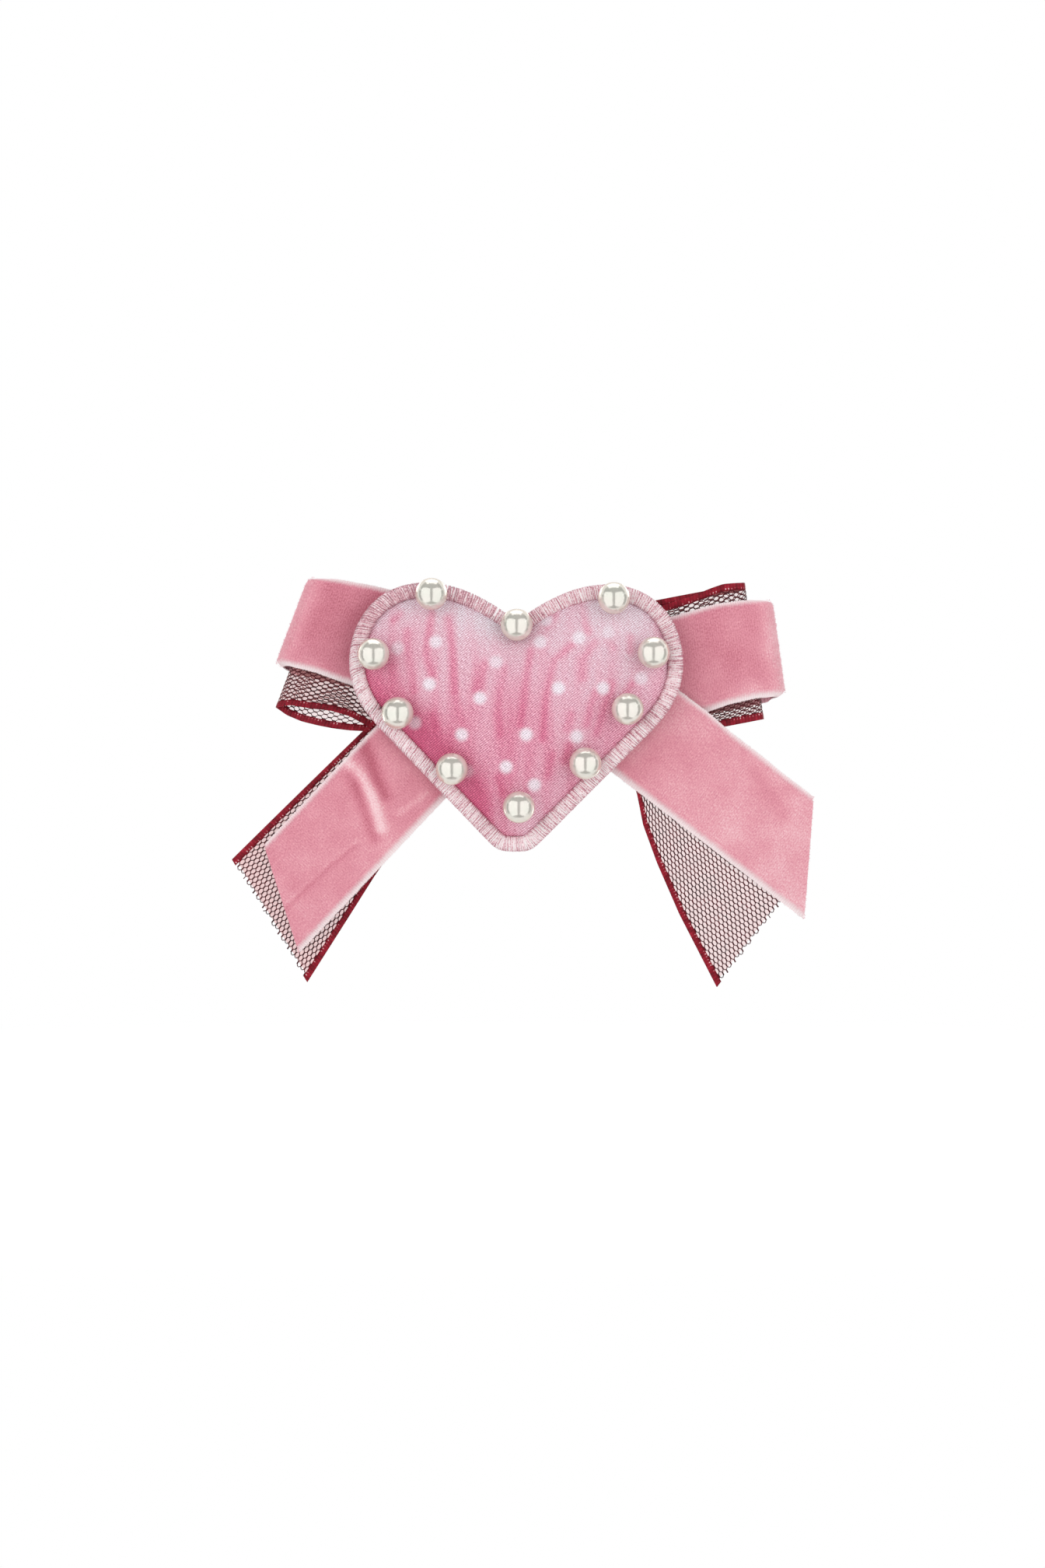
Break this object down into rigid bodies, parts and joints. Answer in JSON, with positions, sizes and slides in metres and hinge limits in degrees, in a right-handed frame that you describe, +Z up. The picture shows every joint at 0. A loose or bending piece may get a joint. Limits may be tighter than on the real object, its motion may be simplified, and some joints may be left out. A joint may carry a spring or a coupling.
{
  "type": "barrette",
  "caption": "Hair barrette: a pink velvet bow over dark net ribbon, a padded satin heart with a stitched edge and pearls, on a spring clip with a hinged arm.",
  "frame": {"origin": "middle of the hair gap, half way between the clip's spring bar and its arm", "axes": "+X to the right along the clip, +Y back towards the head, +Z up; the bow's front faces -Y"},
  "size_m": [0.1465, 0.0368, 0.1037],
  "materials": {
    "plated_steel": "nickel plated, satin",
    "spring_steel": "rolled spring strip",
    "velvet": "short pile velvet ribbon",
    "net": "hexagonal net",
    "burgundy_edge": "woven satin edge",
    "felt": "pressed felt",
    "wadding": "polyester wadding",
    "printed_satin": "printed satin, dotted and streaked",
    "embroidery": "satin stitched border",
    "pearl": "pearl lacquer",
    "thread": "sewing thread"
  },
  "bodies": {
    "bow_and_base": {"base_plate": "plated_steel", "hinge_pin": "plated_steel", "latch_rivet": "plated_steel", "pearl_tack_1": "plated_steel", "pearl_tack_2": "plated_steel", "pearl_tack_3": "plated_steel", "pearl_tack_4": "plated_steel", "pearl_tack_5": "plated_steel", "pearl_tack_6": "plated_steel", "pearl_tack_7": "plated_steel", "pearl_tack_8": "plated_steel", "pearl_tack_9": "plated_steel", "pearl_tack_10": "plated_steel", "spring_bar": "spring_steel", "latch_base": "spring_steel", "velvet_loop_left": "velvet", "velvet_loop_right": "velvet", "velvet_tail_left": "velvet", "velvet_tail_right": "velvet", "net_loop_left": "net", "net_loop_right": "net", "net_tail_left": "net", "net_tail_right": "net", "net_loop_left_upper_edge": "burgundy_edge", "net_loop_left_lower_edge": "burgundy_edge", "net_loop_right_upper_edge": "burgundy_edge", "net_loop_right_lower_edge": "burgundy_edge", "net_tail_left_upper_edge": "burgundy_edge", "net_tail_left_lower_edge": "burgundy_edge", "net_tail_right_upper_edge": "burgundy_edge", "net_tail_right_lower_edge": "burgundy_edge", "felt_pad": "felt", "heart_backing": "felt", "heart_padding": "wadding", "heart_cover": "printed_satin", "heart_border": "embroidery", "pearl_1": "pearl", "pearl_2": "pearl", "pearl_3": "pearl", "pearl_4": "pearl", "pearl_5": "pearl", "pearl_6": "pearl", "pearl_7": "pearl", "pearl_8": "pearl", "pearl_9": "pearl", "pearl_10": "pearl", "binding_stitch_left": "thread", "binding_stitch_right": "thread"},
    "arm": {"clasp_arm": "plated_steel"},
    "prong_upper": {"latch_prong_upper": "spring_steel"},
    "prong_lower": {"latch_prong_lower": "spring_steel"}
  },
  "joints": [
    {"name": "clasp_hinge", "type": "hinge", "parent": "bow_and_base", "child": "arm", "pos_m": [-0.0365, 0.00185, 0], "axis": [0, 0, 1], "range_deg": [0, 75]},
    {"name": "prong_upper_squeeze", "type": "hinge", "parent": "bow_and_base", "child": "prong_upper", "pos_m": [0.0345, -0.0048, 0.0018], "axis": [-1, 0, 0], "range_deg": [0, 6], "stiffness_Nm_per_rad": 0.002},
    {"name": "prong_lower_squeeze", "type": "hinge", "parent": "bow_and_base", "child": "prong_lower", "pos_m": [0.0345, -0.0048, -0.0018], "axis": [1, 0, 0], "range_deg": [0, 6], "stiffness_Nm_per_rad": 0.002}
  ],
  "couplings": [
    {"joint": "prong_lower_squeeze", "follows": "prong_upper_squeeze", "ratio": 1}
  ]
}
